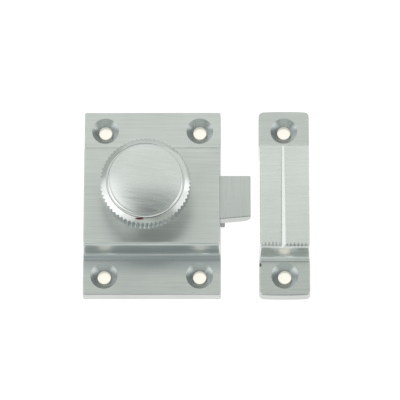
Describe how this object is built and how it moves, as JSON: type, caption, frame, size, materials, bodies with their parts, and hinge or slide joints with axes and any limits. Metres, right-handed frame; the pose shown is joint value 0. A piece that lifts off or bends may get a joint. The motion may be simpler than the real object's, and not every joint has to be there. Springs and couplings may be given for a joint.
{
  "type": "door catch",
  "caption": "Surface-mounted cabinet door catch: a cast case whose round milled knob draws a sprung bolt, with its separate bridge-shaped keeper.",
  "frame": {"origin": "centre of the case's back face, at the middle of its four screw holes", "axes": "+Z out of the door towards the knob, +X along the bolt towards the keeper, +Y up the case"},
  "size_m": [0.0823, 0.0706, 0.033],
  "materials": {
    "satin_chrome": "satin",
    "bright_steel": "satin",
    "spring_steel": "satin",
    "nylon": "matte"
  },
  "bodies": {
    "case_body": {"case": "satin_chrome", "keeper": "satin_chrome", "back_plate": "bright_steel", "back_plate_screws": "bright_steel", "spring_rod": "bright_steel", "bolt_spring": "spring_steel", "knob_washer": "nylon"},
    "knob_body": {"knob": "satin_chrome", "spindle": "bright_steel", "grub_screw": "bright_steel", "thrust_washer": "bright_steel", "crank": "bright_steel", "crank_pin": "bright_steel", "crank_washer": "bright_steel", "crank_screw": "bright_steel"},
    "bolt_body": {"bolt": "satin_chrome"}
  },
  "joints": [
    {"name": "knob_turn", "type": "hinge", "parent": "case_body", "child": "knob_body", "pos_m": [-0.00195, 0, 0.013], "axis": [0, 0, -1], "range_deg": [0, 85]},
    {"name": "bolt_slide", "type": "slide", "parent": "case_body", "child": "bolt_body", "axis": [-1, 0, 0], "range_m": [0, 0.0095], "stiffness_N_per_m": 350, "springref_m": -0.01, "deforming": ["bolt_spring"]}
  ],
  "couplings": [
    {"joint": "knob_turn", "follows": "bolt_slide", "rad_per_m": 156.16}
  ]
}
